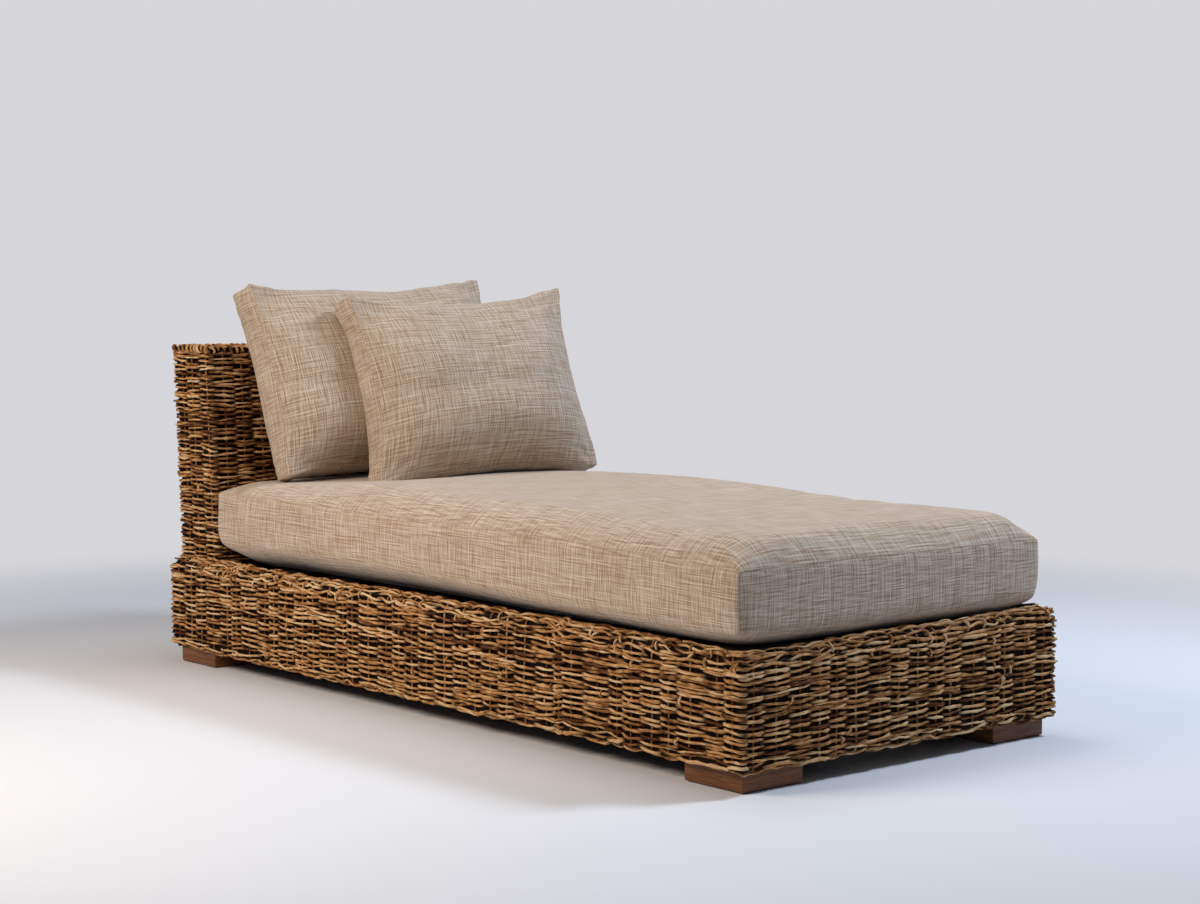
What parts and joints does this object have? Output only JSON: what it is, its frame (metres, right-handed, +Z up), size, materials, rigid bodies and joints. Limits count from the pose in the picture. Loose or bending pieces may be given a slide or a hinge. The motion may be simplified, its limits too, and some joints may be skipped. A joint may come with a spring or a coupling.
{
  "type": "chaise longue",
  "caption": "Woven chaise longue on a timber box frame with block feet and a low upright back, with a boxed seat cushion and loose pillows that lift off.",
  "frame": {"origin": "on the floor under the middle of the base", "axes": "+X from the back to the foot end, +Y to the left of someone who sits against the back, +Z up"},
  "size_m": [2.0526, 0.9, 0.9423],
  "materials": {
    "woven_abaca": "irregular brown and golden natural fibre strands, woven",
    "frame_timber": "sawn hardwood, stained",
    "foot_timber": "brown hardwood, satin",
    "slub_linen": "beige slub linen",
    "zinc_plated_steel": "zinc plated",
    "black_nylon": "matte"
  },
  "bodies": {
    "daybed": {"base_weave": "woven_abaca", "back_weave": "woven_abaca", "side_rail_bottom_left": "frame_timber", "side_rail_bottom_right": "frame_timber", "side_rail_top_left": "frame_timber", "side_rail_top_right": "frame_timber", "foot_rail_bottom": "frame_timber", "foot_rail_top": "frame_timber", "head_rail_bottom": "frame_timber", "head_rail_top": "frame_timber", "deck_cleat_left": "frame_timber", "deck_cleat_right": "frame_timber", "deck_rail_head": "frame_timber", "centre_rail": "frame_timber", "cross_bearer_foot": "frame_timber", "cross_bearer_head": "frame_timber", "centre_prop_foot": "frame_timber", "centre_prop_head": "frame_timber", "mid_post_foot_left": "frame_timber", "mid_post_foot_right": "frame_timber", "mid_post_head_left": "frame_timber", "mid_post_head_right": "frame_timber", "foot_post_left": "frame_timber", "foot_post_right": "frame_timber", "back_post_front_left": "frame_timber", "back_post_front_right": "frame_timber", "back_post_rear_left": "frame_timber", "back_post_rear_right": "frame_timber", "back_rail_mid_front": "frame_timber", "back_rail_mid_rear": "frame_timber", "back_rail_top_front": "frame_timber", "back_rail_top_rear": "frame_timber", "back_spreader_left": "frame_timber", "back_spreader_right": "frame_timber", "deck_slat_01": "frame_timber", "deck_slat_02": "frame_timber", "deck_slat_03": "frame_timber", "deck_slat_04": "frame_timber", "deck_slat_05": "frame_timber", "deck_slat_06": "frame_timber", "deck_slat_07": "frame_timber", "deck_slat_08": "frame_timber", "deck_slat_09": "frame_timber", "deck_slat_10": "frame_timber", "coach_screw_back_post_front_left": "zinc_plated_steel", "coach_screw_back_post_front_right": "zinc_plated_steel", "coach_screw_back_post_rear_left": "zinc_plated_steel", "coach_screw_back_post_rear_right": "zinc_plated_steel", "leg_block_foot_left": "foot_timber", "leg_block_foot_right": "foot_timber", "leg_block_head_left": "foot_timber", "leg_block_head_right": "foot_timber", "leg_glide_foot_left": "black_nylon", "leg_glide_foot_right": "black_nylon", "leg_glide_head_left": "black_nylon", "leg_glide_head_right": "black_nylon"},
    "seat": {"seat_cushion": "slub_linen"},
    "pillow_rear": {"rear_pillow": "slub_linen"},
    "pillow_front": {"front_pillow": "slub_linen"}
  },
  "joints": [
    {"name": "seat_cushion_lift", "type": "slide", "parent": "daybed", "child": "seat", "axis": [0, 0, 1], "range_m": [0, 0.6]},
    {"name": "rear_pillow_lift", "type": "slide", "parent": "seat", "child": "pillow_rear", "axis": [0, 0, 1], "range_m": [0, 0.4]},
    {"name": "front_pillow_lift", "type": "slide", "parent": "pillow_rear", "child": "pillow_front", "axis": [0, 0, 1], "range_m": [0, 0.55]}
  ]
}
